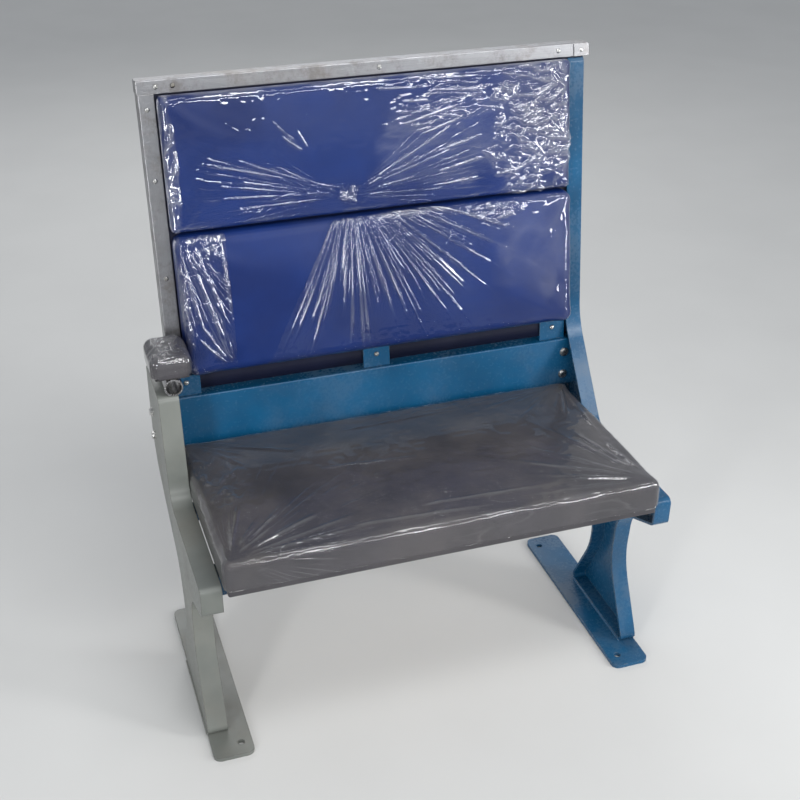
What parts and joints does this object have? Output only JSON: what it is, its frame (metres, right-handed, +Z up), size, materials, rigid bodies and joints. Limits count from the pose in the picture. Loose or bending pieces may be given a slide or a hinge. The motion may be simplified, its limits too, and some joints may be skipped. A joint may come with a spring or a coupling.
{
  "type": "passenger coach bench seat",
  "caption": "Padded transverse bench seat of a railway coach, with an aluminium-edged back, lumbar pad, aisle armrest and pressed steel end standards.",
  "frame": {"origin": "middle of the bounding box's footprint, on the floor under the feet", "axes": "+Z up, a sitter faces -Y, the aisle is at -X and the window at +X"},
  "size_m": [0.897, 0.5498, 1.1201],
  "materials": {
    "blue_vinyl": "satin coated cloth",
    "grey_vinyl": "satin coated cloth",
    "teal_paint": "gloss enamel",
    "grey_green_paint": "gloss enamel",
    "dark_paint": "satin enamel",
    "trim_aluminium": "mill finish",
    "plywood": "bare",
    "tube_steel": "bright",
    "clear_film": "clear wrapping film"
  },
  "bodies": {
    "root": {"back_board": "plywood", "rear_panel": "blue_vinyl", "top_trim": "trim_aluminium", "aisle_trim": "trim_aluminium", "window_corner": "trim_aluminium", "upper_pad": "blue_vinyl", "lower_pad": "blue_vinyl", "squab": "grey_vinyl", "squab_pan": "plywood", "front_rail": "teal_paint", "rear_rail": "teal_paint", "rear_beam": "teal_paint", "aisle_standard": "grey_green_paint", "window_standard": "teal_paint", "aisle_foot": "grey_green_paint", "window_foot": "teal_paint", "arm_tube": "tube_steel", "arm_plate": "dark_paint", "arm_pad": "grey_vinyl", "aisle_clip": "teal_paint", "middle_clip": "teal_paint", "window_clip": "teal_paint"}
  },
  "joints": []
}
